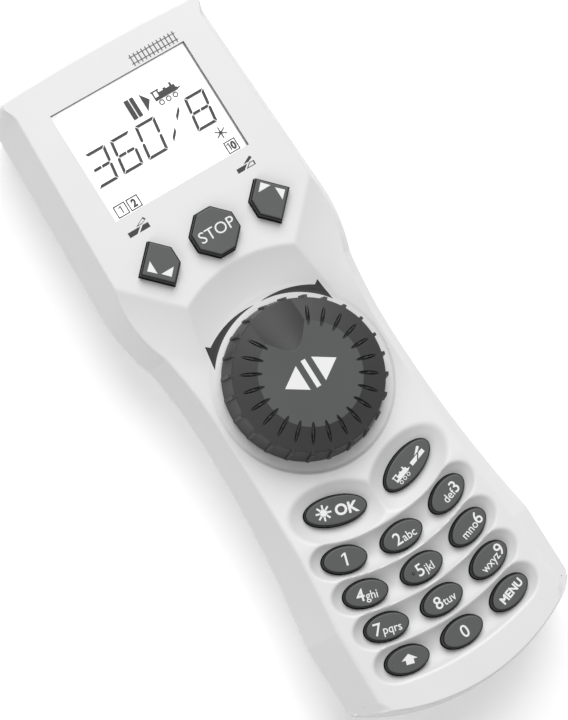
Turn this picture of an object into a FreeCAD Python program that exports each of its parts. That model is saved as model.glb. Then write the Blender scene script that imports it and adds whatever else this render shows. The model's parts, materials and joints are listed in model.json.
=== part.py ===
import FreeCAD, Part
import math
import os
from FreeCAD import Placement, Rotation, Vector

# Train set controller: a hand-held case with a display in its head, a row of three
# large keys, a speed dial in its waist and a 14-key pad below the dial.
# Frame: +Z up out of the face, +Y towards the display end, origin at the middle of
# the case's footprint on the surface that the case rests on.  Millimetres.

# ---- driving dimensions: alias, value ----
SIZES = """
case_half_length 98.15
fit_gap 0.1
air_gap 0.2
least_corner 1.2
parting_height 15.7
head_height 27.04
pad_height 25.2
valley_height 23.5
wall 2.2
foot_inset 3.0
foot_round 2.6
dial_place -5.75
heel_place -84.75
low_place -65.75
bend_place 17.25
shoulder_place 35.25
brow_place 89.25
heel_half 35.5
low_half 35.5
waist_half 30.1
bend_half 32.0
shoulder_half 35.3
brow_half 32.8
heel_rim 27.5
low_rim 26.7
waist_rim 24.0
bend_rim 26.5
shoulder_rim 30.7
brow_rim 28.6
end_rim_inset 1.6
heel_arc 60
crown_arc 534
heel_corner 4
crown_corner 5
pad_crease_place -43.75
valley_place 8.25
vee_half 16.5
vee_place 25.35
flank_floor 23.3
flank_arc 50
scoop_radius 35.6
dish_radius 23.2
dish_rim_radius 25.2
dish_floor 23.4
window_place 70.45
window_width 41.4
window_length 32.4
window_ledge 1.0
pane_depth 1.04
pane_thick 1.2
pad_ceiling 21.0
head_ceiling 24.6
window_zone_low 41
key_zone_low 30.5
key_zone_high 42.5
key_zone_half 26
row_side 16.37
row_one -51.0
row_two -61.3
row_three -71.38
row_four -81.38
sag_one 2.8
sag_two 2.32
sag_three 2.01
sag_four 1.79
trough_radius 6.8
trough_floor 22.8
trough_half 18.8
digit_long 6.1
digit_short 3.55
digit_top 25.4
ok_across 11.41
ok_place -39.08
ok_long 8.55
ok_short 3.9
ok_tilt 18
ok_top 25.0
ok_scoop_long 25.3
ok_scoop_short 15.5
ok_scoop_floor 22.4
stop_place 38.82
stop_flat 12.9
stop_diagonal 12.3
arrow_across 16.64
arrow_side 9.42
arrow_cut 4.36
stop_top 29.6
key_gap 0.28
key_round 0.7
key_foot 18.8
flange_grow 0.9
flange_thick 1.2
board_bottom 14.6
board_thick 1.6
board_half 23.5
board_low -90
board_high 91
mat_thick 1.1
mat_width 46
pad_mat_length 57
pad_mat_place -61.5
stop_mat_length 13
dome_radius 2.6
dome_rise 0.3
lcd_width 44
lcd_length 35
lcd_low 22.4
lcd_top 24.3
frame_rim 1.2
guide_width 43.6
guide_length 30
guide_shift 2
guide_low 18.4
strip_width 40
strip_thick 2
strip_shift 15.6
lamp_width 3.5
lamp_length 2
lamp_tall 1.3
lamp_pitch 12
dial_base 23.9
dial_skirt_radius 21.7
dial_shoulder_radius 20.3
dial_shoulder 31.9
dial_disc_radius 14
dial_top 33.95
dial_wall 2.0
dial_round 0.6
cap_thick 1.0
rib_pitch 15
rib_count 21
tooth_count 24
notch_start 12.4
notch_long 3.1
notch_wide 0.55
notch_deep 0.85
notch_tilt 14
fin_start 13.2
fin_knee 15.4
fin_end 18.3
fin_thick 0.3
fin_sunk 0.45
tooth_start 19.4
tooth_thick 0.9
tooth_stand 0.8
tooth_round 0.3
dimple_radius 6.0
dimple_flare 45
dimple_start 7
dimple_slope 0.25
shaft_radius 3.0
shaft_low 17
hub_radius 5.2
hub_base 26.2
bush_radius 3.6
bush_top 25.9
pot_radius 8.5
pot_top 20.9
nut_flat 10
nut_thick 1.8
socket_half 6.6
socket_low 3.4
socket_front 94.5
socket_depth 14
plug_half 4.85
plug_low 5.2
plug_high 11.8
plug_depth 11
latch_width 3.4
latch_deep 1.1
contact_pitch 1.02
contact_width 0.4
contact_length 7.5
contact_thick 0.8
contact_set_back 6.2
heel_post_across 26.6
heel_post_place -76
head_post_across 22.4
head_post_place 49.1
post_radius 2.4
post_wall 1.2
screw_radius 1.15
screw_head_radius 2.2
screw_head 4.2
screw_seat 6.0
screw_tip 20.4
slot_width 0.7
slot_deep 0.7
board_screw_across 19.5
board_screw_low -27
board_screw_high 25
board_head_radius 2.1
board_head_thick 1.3
board_shank_radius 1.0
board_shank_tip 9
board_hole_radius 1.3
rest_radius 2.6
pilot_radius 1.05
pilot_depth 8
label_width 40
label_length 24
label_depth 0.4
label_gap 0.3
"""

doc = FreeCAD.newDocument("train_controller")
sheet = doc.addObject("Spreadsheet::Sheet", "sizes")
for row, line in enumerate(SIZES.split("\n")[1:-1], start=1):
    alias, value = line.split()
    sheet.set("A%d" % row, alias)
    sheet.set("B%d" % row, value)
    sheet.setAlias("B%d" % row, alias)
doc.recompute()

# a length that reaches past the case from anywhere inside it
BEYOND = 160.0

PLACES = {"x": "Placement.Base.x", "y": "Placement.Base.y", "z": "Placement.Base.z",
          "turn": "Placement.Rotation.Angle"}
nodes = []


def size(name):
    """The value of one driving dimension."""
    return float(sheet.get(name))


def bind(obj, **formulas):
    """Bind properties of obj to formulas in the sheet's aliases."""
    for prop, formula in formulas.items():
        obj.setExpression(PLACES.get(prop, prop), formula)
    return obj


def cell(text):
    """Turn {alias} into a reference to the sheet's cell."""
    return text.replace("{", "sizes.").replace("}", "")


def part(kind, name, **formulas):
    """A Part primitive whose sizes and place are bound to the sheet."""
    obj = doc.addObject("Part::" + kind, name)
    return bind(obj, **{key: cell(str(text)) for key, text in formulas.items()})


def block(name, width, length, low, high, x="0", y="0"):
    """A box centred on x, y between two heights."""
    return part("Box", name, Length=width, Width=length, Height="(%s) - (%s)" % (high, low),
                x="(%s) - (%s) / 2" % (x, width), y="(%s) - (%s) / 2" % (y, length), z=low)


def drum(name, radius, low, high, x="0", y="0"):
    """An upright cylinder between two heights."""
    return part("Cylinder", name, Radius=radius, Height="(%s) - (%s)" % (high, low), x=x, y=y, z=low)


def cut(name, base, tool):
    """base with tool taken away."""
    obj = doc.addObject("Part::Cut", name)
    obj.Base = base
    obj.Tool = tool
    return obj


def join(name, pieces):
    """Several touching pieces fused to one."""
    obj = doc.addObject("Part::MultiFuse", name)
    obj.Shapes = pieces
    return obj


def common(name, pieces):
    """What several pieces share."""
    obj = doc.addObject("Part::MultiCommon", name)
    obj.Shapes = pieces
    return obj


def group(name, pieces):
    """Separate solids kept apart in one object."""
    obj = doc.addObject("Part::Compound", name)
    obj.Links = pieces
    return obj


def shaped(name, shape):
    """An object whose shape is worked out with Part's own functions."""
    obj = doc.addObject("Part::Feature", name)
    obj.Shape = shape
    return obj


def round_top(name, base, radius):
    """Round the edges that lie in the highest flat face of base."""
    doc.recompute()
    top = base.Shape.BoundBox.ZMax
    edges = [number for number, edge in enumerate(base.Shape.Edges, start=1)
             if edge.BoundBox.ZMin > top - 0.01]
    obj = doc.addObject("Part::Fillet", name)
    obj.Base = base
    obj.Edges = [(number, radius, radius) for number in edges]
    return obj


def node(name, obj):
    """Name obj as a finished piece."""
    obj.Label = name
    nodes.append(obj)
    return obj


# ---- case outline ----
def arc_from_vertical(start, end):
    """The arc that leaves start straight along Y and ends at end."""
    across = end.x - start.x
    along = end.y - start.y
    radius = (across * across + along * along) / (2 * across)
    centre = Vector(start.x + radius, start.y, start.z)
    first = math.atan2(start.y - centre.y, start.x - centre.x)
    last = math.atan2(end.y - centre.y, end.x - centre.x)
    turn = (last - first + math.pi) % (2 * math.pi) - math.pi
    middle = first + turn / 2
    reach = abs(radius)
    through = centre + Vector(reach * math.cos(middle), reach * math.sin(middle), 0)
    return Part.Arc(start, through, end).toShape()


def on_end_arc(tip, x, radius):
    """The point at x on the arc that closes one end of the case, whose middle is tip."""
    drop = radius - math.sqrt(radius * radius - x * x)
    return Vector(x, tip.y - math.copysign(drop, tip.y), tip.z)


def rounded(first, second, radius, corner):
    """Two edges that meet at corner, trimmed by an arc between them."""
    plane = Part.Plane(corner, Vector(0, 0, 1))
    tool = Part.ChFi2d.FilletAPI(first, second, plane)
    tool.perform(radius)
    arc, one, two = tool.result(corner)
    return one, arc, two


def outline(height, halves, ends, corners):
    """The closed outline of the case at one height, the same 16 edges at each height."""
    heel, low, waist, bend, shoulder, brow = halves
    stations = [size(name + "_place") for name in ("heel", "low", "dial", "bend", "shoulder", "brow")]
    points = [Vector(half, place, height) for half, place in zip(halves, stations)]
    heel_tip = Vector(0, -ends, height)
    heel_middle, heel_point = [on_end_arc(heel_tip, x, size("heel_arc")) for x in (heel / 2, heel)]
    crown_tip = Vector(0, ends, height)
    crown_middle, crown_point = [on_end_arc(crown_tip, x, size("crown_arc")) for x in (brow / 2, brow)]
    heel_end = Part.Arc(heel_tip, heel_middle, heel_point).toShape()
    crown_end = Part.Arc(crown_point, crown_middle, crown_tip).toShape()
    side = Part.LineSegment(heel_point, points[1]).toShape()
    head = Part.LineSegment(points[4], crown_point).toShape()
    heel_end, heel_round, side = rounded(heel_end, side, corners[0], heel_point)
    head, crown_round, crown_end = rounded(head, crown_end, corners[1], crown_point)
    lower = arc_from_vertical(points[2], points[1])
    upper = arc_from_vertical(points[2], points[3])
    shoulder_arc = arc_from_vertical(points[4], points[3])
    half = [heel_end, heel_round, side, lower, upper, shoulder_arc, head, crown_round, crown_end]
    mirrored = [edge.mirror(Vector(0, 0, 0), Vector(1, 0, 0)) for edge in half]
    return Part.Wire(Part.__sortEdges__(half + mirrored))


def halves(suffix, inset=0.0):
    """The half widths at the six stations, from the sheet's suffix rows, less an inset."""
    names = ("heel", "low", "waist", "bend", "shoulder", "brow")
    return [size(name + suffix) - inset for name in names]


def slice_between(low, high, start=-BEYOND, end=BEYOND, half=BEYOND):
    """A slab between two heights that reaches past the case, or only between start and end along it."""
    return Part.makeBox(2 * half, end - start, high - low, Vector(-half, start, low))


def sleeve(inset, low, high):
    """A solid inside the case's side walls, inset from them, between two heights."""
    parting = size("parting_height")
    head = size("head_height")
    least = size("least_corner")
    corners = [max(size(end + "_corner") - inset, least) for end in ("heel", "crown")]
    ends = size("case_half_length")
    lower = outline(parting, halves("_half", inset), ends - inset, corners)
    upper = outline(head, halves("_rim", inset), ends - size("end_rim_inset") - inset, corners)
    solid = Part.makeLoft([lower, upper], True, True)
    slab = slice_between(low, high)
    return solid.common(slab) if high < head or low > parting else solid


# ---- front shell ----
def profile_face(points, arcs):
    """A flat face round the points; arcs gives the point that an arc from a point passes through."""
    edges = []
    for index, start in enumerate(points):
        end = points[(index + 1) % len(points)]
        if index in arcs:
            edges.append(Part.Arc(start, arcs[index], end).toShape())
        else:
            edges.append(Part.LineSegment(start, end).toShape())
    return Part.Face(Part.Wire(edges))


def pad_block():
    """Everything under the body's face: level over the keypad, sloping into the valley."""
    crease = size("pad_crease_place")
    valley = size("valley_place")
    top = size("pad_height")
    low = size("valley_height")
    profile = [(-BEYOND, 0), (-BEYOND, top), (crease, top), (valley, low), (BEYOND, low), (BEYOND, 0)]
    points = [Vector(-BEYOND, y, z) for y, z in profile]
    middle = Vector(-BEYOND, (crease + valley) / 2, low + (top - low) / 4)
    solid = profile_face(points, {2: middle}).extrude(Vector(2 * BEYOND, 0, 0))
    reach = 6.0
    slope = (size("dish_rim_radius") - size("dish_radius")) / (top - size("dish_floor"))
    dish = Part.makeCone(size("dish_radius"), size("dish_radius") + slope * reach, reach,
                         Vector(0, size("dial_place"), size("dish_floor")))
    return solid.cut(dish)


def flank_block(side):
    """Everything under the head on one side of its vee, with the concave flank below it."""
    top = size("head_height")
    floor = size("flank_floor")
    radius = size("flank_arc")
    run = math.sqrt(radius * radius - (radius - (top - floor)) ** 2)
    through = run / 2
    sag = radius - math.sqrt(radius * radius - through * through)
    rise = run / (radius - (top - floor))
    above = 9.0
    profile = [(-BEYOND, 0), (-BEYOND, floor), (-run, floor), (0, top),
               (above, top + above * rise), (BEYOND, top + above * rise), (BEYOND, 0)]
    points = [Vector(x, -BEYOND, z) for x, z in profile]
    face = profile_face(points, {2: Vector(-run + through, -BEYOND, floor + sag)})
    solid = face.extrude(Vector(0, 2 * BEYOND, 0))
    solid.rotate(Vector(0, 0, 0), Vector(0, 0, 1), 90 + 45 * side)
    solid.translate(Vector(size("vee_half") * side, size("vee_place"), 0))
    return solid


def head_block():
    """Everything under the head: both flanks, less the conical scoop above the dial."""
    rise = size("head_height") - size("dish_floor")
    spread = (size("scoop_radius") - size("dish_radius")) / rise
    reach = 8.0
    scoop = Part.makeCone(size("dish_radius"), size("dish_radius") + spread * reach, reach,
                          Vector(0, size("dial_place"), size("dish_floor")))
    return flank_block(1).common(flank_block(-1)).cut(scoop)


def row_arc_centre(side_place, sag):
    """Radius and centre of the smile arc through one row of keys."""
    half = size("row_side")
    radius = (half * half + sag * sag) / (2 * sag)
    return radius, side_place - sag + radius


def trough(side_place, sag):
    """The rounded channel that one row of keys stands in."""
    radius, centre = row_arc_centre(side_place, sag)
    bore = size("trough_radius")
    height = size("trough_floor") + bore
    half = math.degrees(math.asin(size("trough_half") / radius))
    channel = Part.makeTorus(radius, bore, Vector(0, 0, 0), Vector(0, 0, 1), -180, 180, 2 * half)
    channel.rotate(Vector(0, 0, 0), Vector(0, 0, 1), -90 - half)
    channel.translate(Vector(0, centre, height))
    for side in (-1, 1):
        angle = math.radians(-90 + side * half)
        end = Vector(radius * math.cos(angle), centre + radius * math.sin(angle), height)
        channel = channel.fuse(Part.makeSphere(bore, end))
    return channel


def ok_scoop(side):
    """The large oval hollow around the OK key or the locomotive key."""
    short = size("ok_scoop_short")
    stretch = FreeCAD.Matrix()
    stretch.scale(size("ok_scoop_long") / short, 1, 1)
    oval = Part.makeSphere(short).transformGeometry(stretch)
    oval.rotate(Vector(0, 0, 0), Vector(0, 0, 1), side * size("ok_tilt"))
    oval.translate(Vector(side * size("ok_across"), size("ok_place"), size("ok_scoop_floor") + short))
    return oval


def front_blank():
    """The front shell before its window and key holes are cut."""
    envelope = sleeve(0, size("parting_height"), size("head_height"))
    body = envelope.common(pad_block())
    head = envelope.common(head_block())
    outer = body.fuse(head).removeSplitter()
    for name in ("one", "two", "three", "four"):
        outer = outer.cut(trough(size("row_" + name), size("sag_" + name)))
    for side in (-1, 1):
        outer = outer.cut(ok_scoop(side))
    low = size("parting_height") - 1
    cavity = sleeve(size("wall"), low, size("head_height"))
    pad = slice_between(low, size("pad_ceiling"))
    window_zone = slice_between(low, size("head_ceiling"), size("window_zone_low"))
    key_zone = slice_between(low, size("head_ceiling"), size("key_zone_low"), size("key_zone_high"),
                             size("key_zone_half"))
    hollow = cavity.common(pad.fuse(window_zone).fuse(key_zone))
    shell = outer.cut(hollow)
    for side, end, ceiling in POSTS:
        shell = shell.fuse(front_post(side, end, ceiling).common(outer))
    return shell.removeSplitter()


# the four case screws: side, end of the case, and the face's underside there
POSTS = [(side, end, ceiling) for side in (-1, 1)
         for end, ceiling in (("heel", "pad_ceiling"), ("head", "head_ceiling"))]


def post_foot(side, end, height):
    """A point on the axis of one case screw."""
    return Vector(side * size(end + "_post_across"), size(end + "_post_place"), height)


def front_post(side, end, ceiling):
    """The post under the face that takes one case screw."""
    into_face = 0.5
    foot = post_foot(side, end, size("parting_height") + size("fit_gap"))
    post = Part.makeCylinder(size("post_radius"), size(ceiling) + into_face - foot.z, foot)
    thread = size("screw_radius") + size("fit_gap") / 2
    return post.cut(Part.makeCylinder(thread, size("pad_ceiling") - foot.z, foot))


# ---- rear shell ----
# steps round the foot of the tub
TUB_STEPS = 5


def tub_levels(wall):
    """Heights and insets of the tub's side, round at its foot; wall gives the inner skin."""
    parting = size("parting_height")
    radius = size("foot_round")
    levels = [(parting, 0)]
    for step in range(TUB_STEPS, -1, -1):
        angle = math.radians(90) * step / TUB_STEPS
        height = radius * (1 - math.cos(angle))
        rake = size("foot_inset") * (1 - height / parting)
        levels.append((height, rake + radius * (1 - math.sin(angle))))
    if wall:
        levels = [(max(height, wall), inset + wall) for height, inset in levels if height >= wall]
    return levels


def tub_solid(wall):
    """The tub's outer solid, or its hollow when wall is not zero."""
    ends = size("case_half_length")
    wires = []
    for height, inset in tub_levels(wall):
        corners = [max(size(end + "_corner") - inset / 2, size("least_corner")) for end in ("heel", "crown")]
        wires.append(outline(height, halves("_half", inset), ends - inset, corners))
    solid = Part.makeLoft(wires[:2], True, True)
    for lower, upper in zip(wires[2:], wires[1:]):
        solid = solid.fuse(Part.makeLoft([lower, upper], True, True))
    return solid


def rear_blank():
    """The rear tub: raked sides, flat base, posts, board rests and the socket's hole."""
    outer = tub_solid(0)
    tub = outer.cut(tub_solid(size("wall")))
    for side, end, ceiling in POSTS:
        tub = tub.fuse(rear_post(side, end).common(outer)).cut(rear_bore(side, end))
    for side in (-1, 1):
        for place in ("board_screw_low", "board_screw_high"):
            tub = tub.fuse(board_rest(side, size(place)))
    clear = 0.3
    start = size("socket_front") - size("socket_depth") - 2
    hole = slice_between(size("socket_low") - clear, size("board_bottom") + clear, start, BEYOND,
                         size("socket_half") + clear)
    recess = Part.makeBox(size("label_width"), size("label_length"), size("label_depth"),
                          Vector(-size("label_width") / 2, -size("label_length") / 2, 0))
    return tub.cut(hole).cut(recess).removeSplitter()


def rear_post(side, end):
    """The post that one case screw passes through, wide around its head's well."""
    foot = post_foot(side, end, size("wall") / 2)
    wide = Part.makeCylinder(size("screw_head_radius") + size("post_wall"),
                             size("screw_seat") + size("post_wall"), foot)
    return wide.fuse(Part.makeCylinder(size("post_radius"), size("parting_height") - foot.z, foot))


def rear_bore(side, end):
    """The clear hole and the head's well of one case screw."""
    foot = post_foot(side, end, -1)
    gap = size("air_gap")
    well = Part.makeCylinder(size("screw_head_radius") + gap, size("screw_seat") - foot.z, foot)
    clear = Part.makeCylinder(size("screw_radius") + gap, size("parting_height") + 2, foot)
    return well.fuse(clear)


def board_rest(x, y):
    """A pillar from the base to the board, with a pilot hole for its screw."""
    foot = Vector(x * size("board_screw_across"), y, size("wall") / 2)
    top = size("board_bottom") - foot.z
    deep = size("pilot_depth")
    pillar = Part.makeCylinder(size("rest_radius"), top, foot)
    return pillar.cut(Part.makeCylinder(size("pilot_radius"), deep, foot + Vector(0, 0, top - deep)))


# ---- keys ----
def oval(name, long_half, short_half, low, high, x, y, turn):
    """An upright elliptical prism."""
    ring = part("Ellipse", name + "_ring", MajorRadius=long_half, MinorRadius=short_half)
    ring.Placement = Placement(Vector(0, 0, 0), Rotation(Vector(0, 0, 1), turn))
    bind(ring, x=cell(x), y=cell(y), z=cell(low))
    solid = doc.addObject("Part::Extrusion", name)
    solid.Base = ring
    solid.DirMode = "Custom"
    solid.Dir = Vector(0, 0, 1)
    solid.Solid = True
    bind(solid, LengthFwd=cell("(%s) - (%s)" % (high, low)))
    return solid


def turned_block(name, side, low, high, x, y):
    """A square box standing on its corner, centred on x, y."""
    box = part("Box", name, Length=side, Width=side, Height="(%s) - (%s)" % (high, low))
    box.Placement = Placement(Vector(0, 0, 0), Rotation(Vector(0, 0, 1), 45))
    bind(box, x=cell(x), y=cell("(%s) - (%s) * sqrt(2) / 2" % (y, side)), z=cell(low))
    return box


def digit_plan(x, y, turn):
    """The plan of a digit key, grown all round by a given formula."""
    def make(name, grow, low, high):
        return oval(name, "{digit_long} + " + grow, "{digit_short} + " + grow, low, high, x, y, turn)
    return make


def ok_plan(x, y, turn):
    """The plan of the OK key and of the locomotive key."""
    def make(name, grow, low, high):
        return oval(name, "{ok_long} + " + grow, "{ok_short} + " + grow, low, high, x, y, turn)
    return make


def stop_plan(name, grow, low, high):
    """The plan of the stop key: a square with its corners cut off."""
    square = block(name + "_square", "{stop_flat} + 2 * " + grow, "{stop_flat} + 2 * " + grow,
                   low, high, "0", "{stop_place}")
    diamond = turned_block(name + "_diamond", "{stop_diagonal} + 2 * " + grow, low, high,
                           "0", "{stop_place}")
    return common(name, [square, diamond])


def arrow_plan(side):
    """The plan of a direction key: a diamond whose corner beside the stop key is cut off."""
    def make(name, grow, low, high):
        x = "%d * {arrow_across}" % side
        diamond = turned_block(name + "_diamond", "{arrow_side} + 2 * " + grow, low, high,
                               x, "{stop_place}")
        limit = block(name + "_limit", "20", "30", low, high,
                      "%d * ({arrow_across} - {arrow_cut} - (%s) + 10)" % (side, grow), "{stop_place}")
        return common(name, [diamond, limit])
    return make


def add_key(name, plan, top, ceiling, x, y):
    """A key: cap, flange under the face, and foot down to the mat; and its hole."""
    grip = "%s - {air_gap}" % ceiling
    under = grip + " - {flange_thick}"
    cap = round_top(name + "_cap", plan(name + "_plan", "0", grip, top), size("key_round"))
    flange = plan(name + "_flange", "{flange_grow}", under, grip)
    foot = drum(name + "_foot", "{dome_radius} + {air_gap}", "{key_foot}", under, x, y)
    node(name, join(name + "_body", [cap, flange, foot]))
    return plan(name + "_hole", "{key_gap}", "%s - 1" % ceiling, "{head_height} + 3")


def row_tilt(name):
    """The tilt of the outer keys of a row: the slope of its smile arc there."""
    radius, centre = row_arc_centre(size("row_" + name), size("sag_" + name))
    return math.degrees(math.asin(size("row_side") / radius))


def make_keys():
    """The seventeen keys; gives back their holes in the front shell."""
    holes = []
    rows = (("one", ("key_1", "key_2", "key_3")), ("two", ("key_4", "key_5", "key_6")),
            ("three", ("key_7", "key_8", "key_9")), ("four", ("key_shift", "key_0", "key_menu")))
    for row, names in rows:
        tilt = row_tilt(row)
        for column, name in zip((-1, 0, 1), names):
            x = "%d * {row_side}" % column
            y = "{row_%s}" % row if column else "{row_%s} - {sag_%s}" % (row, row)
            plan = digit_plan(x, y, column * tilt)
            holes.append(add_key(name, plan, "{digit_top}", "{pad_ceiling}", x, y))
    for side, name in ((-1, "key_ok"), (1, "key_loco")):
        x = "%d * {ok_across}" % side
        plan = ok_plan(x, "{ok_place}", side * size("ok_tilt"))
        holes.append(add_key(name, plan, "{ok_top}", "{pad_ceiling}", x, "{ok_place}"))
    holes.append(add_key("stop_key", stop_plan, "{stop_top}", "{head_ceiling}", "0", "{stop_place}"))
    for side, name in ((-1, "left_key"), (1, "right_key")):
        x = "%d * {arrow_across}" % side
        holes.append(add_key(name, arrow_plan(side), "{stop_top}", "{head_ceiling}", x, "{stop_place}"))
    return holes


# ---- display ----
def make_display():
    """Window pane, display glass, its frame, light guide, lamps and contact strip."""
    place = "{window_place}"
    board = "{board_bottom} + {board_thick}"
    pane_low = "{head_height} - {pane_depth} - {pane_thick}"
    pane = block("pane_block", "{window_width} - {fit_gap}", "{window_length} - {fit_gap}",
                 pane_low, "{head_height} - {pane_depth}", "0", place)
    node("display_window", pane)
    glass = block("lcd_block", "{lcd_width}", "{lcd_length}", "{lcd_low}", "{lcd_top}", "0", place)
    node("lcd_panel", glass)
    outer = block("frame_outer", "{lcd_width} + 2 * {frame_rim}", "{lcd_length} + 2 * {frame_rim}",
                  board, "{lcd_top}", "0", place)
    inner = block("frame_inner", "{lcd_width} + 2 * {fit_gap}", "{lcd_length} + 2 * {fit_gap}",
                  "{board_bottom}", "{head_ceiling}", "0", place)
    node("lcd_frame", cut("frame_ring", outer, inner))
    node("backlight_guide", block("guide_block", "{guide_width}", "{guide_length}", "{guide_low}",
                                  "{lcd_low} - {air_gap}", "0", place + " + {guide_shift}"))
    node("lcd_connector", block("strip_block", "{strip_width}", "{strip_thick}", board + " + {fit_gap}",
                                "{lcd_low} - {fit_gap}", "0", place + " - {strip_shift}"))
    lamp_foot = board + " + {fit_gap}"
    lamps = [block("lamp_%d" % i, "{lamp_width}", "{lamp_length}", lamp_foot, lamp_foot + " + {lamp_tall}",
                   "%d * {lamp_pitch}" % i, place) for i in (-1, 0, 1)]
    node("backlight_lamps", group("lamp_group", lamps))


# ---- dial ----
def dial_envelope():
    """The dial's solid of revolution: skirt, sloping shoulder, and seat for the cap."""
    axis = size("dial_place")
    base = size("dial_base")
    top = size("dial_top")
    skirt = size("dial_skirt_radius")
    shoulder = size("dial_shoulder_radius")
    level = size("dial_shoulder")
    disc = size("dial_disc_radius")
    points = [(0, base), (skirt, base), (shoulder, level), (disc, top), (0, top)]
    wire = Part.makePolygon([Vector(x, 0, z) for x, z in points + points[:1]])
    solid = Part.Face(wire).revolve(Vector(0, 0, 0), Vector(0, 0, 1), 360)
    brow = [edge for edge in solid.Edges if abs(edge.BoundBox.ZMax - level) < 0.01]
    solid = solid.makeFillet(size("dial_round"), brow)
    solid.translate(Vector(0, axis, 0))
    return solid


def finger_dimple():
    """The flared groove from inside the disc down to the rim, where a fingertip turns it."""
    radius = size("dimple_radius")
    flare = math.radians(size("dimple_flare"))
    lift = flare - math.atan(size("dimple_slope"))
    length = 40.0
    tip = Vector(0, size("dial_place") + size("dimple_start"), size("dial_top"))
    centre = tip + Vector(0, -math.sin(lift), math.cos(lift)) * radius
    axis = Vector(0, math.cos(lift), math.sin(lift))
    return Part.makeCone(radius, radius + length * math.tan(flare), length, centre, axis)


def rib_notch(index):
    """The leaf-shaped slot at one rib: from inside the disc, down along the sloping shoulder."""
    slot = Part.makeSphere(1.0)
    stretch = FreeCAD.Matrix()
    stretch.scale(size("notch_long"), size("notch_wide"), size("notch_deep"))
    slot = slot.transformGeometry(stretch)
    slot.rotate(Vector(0, 0, 0), Vector(0, 1, 0), size("notch_tilt"))
    middle = size("notch_start") + size("notch_long")
    slot.translate(Vector(middle, 0, dial_slope(middle)))
    return at_rib(slot, index)


def dial_slope(radius):
    """The height of the dial's sloping shoulder at a radius."""
    fall = size("dial_top") - size("dial_shoulder")
    run = size("dial_shoulder_radius") - size("dial_disc_radius")
    return size("dial_top") - (radius - size("dial_disc_radius")) * fall / run


def rib_plate(points, thick, index):
    """A thin plate with the given profile, standing at one rib."""
    wire = Part.makePolygon([Vector(x, 0, z) for x, z in points + points[:1]])
    plate = Part.Face(wire).extrude(Vector(0, thick, 0))
    plate.translate(Vector(0, -thick / 2, 0))
    return at_rib(plate, index)


def rib_fin(index):
    """The thin fin that lies low in the notch and runs out into the sloping shoulder."""
    root = size("dial_shoulder")
    start, knee, end = size("fin_start"), size("fin_knee"), size("fin_end")
    sunk = size("fin_sunk")
    crest = (knee + end) / 2
    points = [(start, root), (start, size("dial_top") - 2 * sunk), (knee, dial_slope(knee) - sunk / 3),
              (crest, dial_slope(crest) + sunk / 3), (end, dial_slope(end)), (end, root)]
    return rib_plate(points, size("fin_thick"), index)


def rib_tooth(index):
    """The tooth that stands out of the rim and runs down the skirt."""
    skirt = size("dial_skirt_radius")
    rim = size("dial_shoulder_radius") + size("tooth_stand")
    start = size("tooth_start")
    corner = size("tooth_round")
    low = size("dial_base") + 2 * corner
    level = size("dial_shoulder")
    points = [(start, level - 1), (start, dial_slope(start)), (rim - corner, level),
              (rim, level - corner), (skirt + corner, low), (skirt - 1, low)]
    return rib_plate(points, size("tooth_thick"), index)


def at_rib(shape, index):
    """shape moved from the +X axis to rib number index; the gap faces the display."""
    first = 90 + (360 - (size("rib_count") - 1) * size("rib_pitch")) / 2
    shape.rotate(Vector(0, 0, 0), Vector(0, 0, 1), first + index * size("rib_pitch"))
    shape.translate(Vector(0, size("dial_place"), 0))
    return shape


def make_dial():
    """The dial, its cap, the shaft that it turns, and the potentiometer below."""
    ribs = range(int(size("rib_count")))
    centre = Vector(0, size("dial_place"), 0)
    body = dial_envelope()
    body = body.cut(Part.makeCompound([rib_notch(index) for index in ribs]))
    teeth = [rib_tooth(index) for index in range(int(size("tooth_count")))]
    body = body.multiFuse([rib_fin(index) for index in ribs] + teeth)
    body = body.cut(finger_dimple())
    wall = size("dial_wall")
    hollow = Part.makeCylinder(size("dial_shoulder_radius") - wall,
                               size("dial_shoulder") - wall - size("dial_base") + 1,
                               centre + Vector(0, 0, size("dial_base") - 1))
    hub_top = size("dial_shoulder") - wall + 0.5
    hub = Part.makeCylinder(size("hub_radius"), hub_top - size("hub_base"),
                            centre + Vector(0, 0, size("hub_base")))
    body = body.cut(hollow).fuse(hub)
    bore = Part.makeCylinder(size("shaft_radius"), size("dial_shoulder") - wall - size("hub_base"),
                             centre + Vector(0, 0, size("hub_base")))
    body = body.cut(bore)
    thick = size("cap_thick")
    cap_disc = Part.makeCylinder(size("dial_disc_radius") - size("fit_gap"), 2 * thick,
                                 centre + Vector(0, 0, size("dial_top") - thick))
    cap = body.common(cap_disc)
    node("dial_knob", shaped("dial_shape", body.cut(cap_disc).removeSplitter()))
    node("dial_cap", shaped("dial_cap_shape", cap))

    y = "{dial_place}"
    node("dial_shaft", drum("shaft_round", "{shaft_radius}", "{shaft_low}",
                            "{dial_shoulder} - {dial_wall} - {air_gap}", "0", y))
    can = drum("can_round", "{pot_radius}", "{board_bottom} + {board_thick}", "{pot_top}", "0", y)
    bush = drum("bush_round", "{bush_radius}", "{pot_top} - {air_gap}", "{bush_top}", "0", y)
    bore = drum("bush_bore", "{shaft_radius} + {fit_gap}", "{shaft_low} - {air_gap}", "{bush_top} + 1",
                "0", y)
    node("potentiometer", cut("pot_shape", join("pot_fuse", [can, bush]), bore))
    nut = part("Prism", "nut_hexagon", Circumradius="{nut_flat} / sqrt(3)", Height="{nut_thick}",
               x="0", y=y, z="{dish_floor}")
    nut.Polygon = 6
    hole = drum("nut_bore", "{bush_radius} + {fit_gap} / 2", "{dish_floor} - 1", "{bush_top} + 1", "0", y)
    node("potentiometer_nut", cut("nut_shape", nut, hole))


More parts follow.
